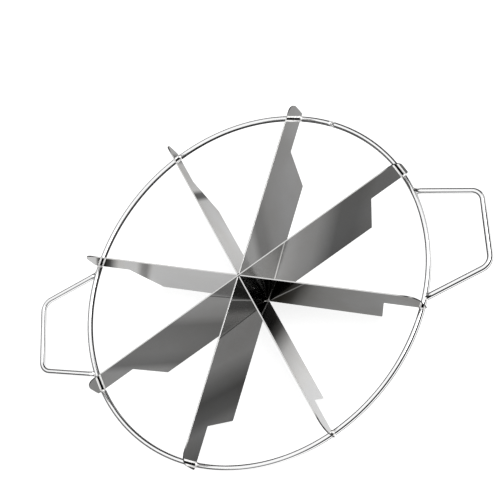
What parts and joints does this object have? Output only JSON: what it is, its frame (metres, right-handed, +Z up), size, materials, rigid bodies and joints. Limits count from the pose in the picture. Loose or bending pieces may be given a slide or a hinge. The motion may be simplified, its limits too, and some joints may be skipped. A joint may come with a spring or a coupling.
{
  "type": "cake portion marker",
  "caption": "Cake portion marker: crossed steel plates with stepped blades, held by a round wire ring that has a bent wire handle on each side",
  "frame": {"origin": "on the axis of the ring, on the plane of the blades' lower edges", "axes": "+X toward the right handle, +Y across the handles, +Z up, from the blades' lower edges to their upper edges"},
  "size_m": [0.3582, 0.2742, 0.05],
  "materials": {
    "wire_steel": "bright polished round wire",
    "plate_steel": "smooth rolled sheet that mirrors softly",
    "weld_steel": "small bright weld beads, a little rough"
  },
  "bodies": {
    "root": {"ring": "wire_steel", "ring_closing_weld": "weld_steel", "handle_right": "wire_steel", "handle_left": "wire_steel", "hub_weld": "weld_steel", "blade_1": "plate_steel", "blade_2": "plate_steel", "blade_3": "plate_steel", "blade_4": "plate_steel", "ring_weld_1": "weld_steel", "ring_weld_2": "weld_steel", "ring_weld_3": "weld_steel", "ring_weld_4": "weld_steel", "ring_weld_5": "weld_steel", "ring_weld_6": "weld_steel", "ring_weld_7": "weld_steel", "ring_weld_8": "weld_steel", "handle_weld_1": "weld_steel", "handle_weld_2": "weld_steel", "handle_weld_3": "weld_steel", "handle_weld_4": "weld_steel"}
  },
  "joints": []
}
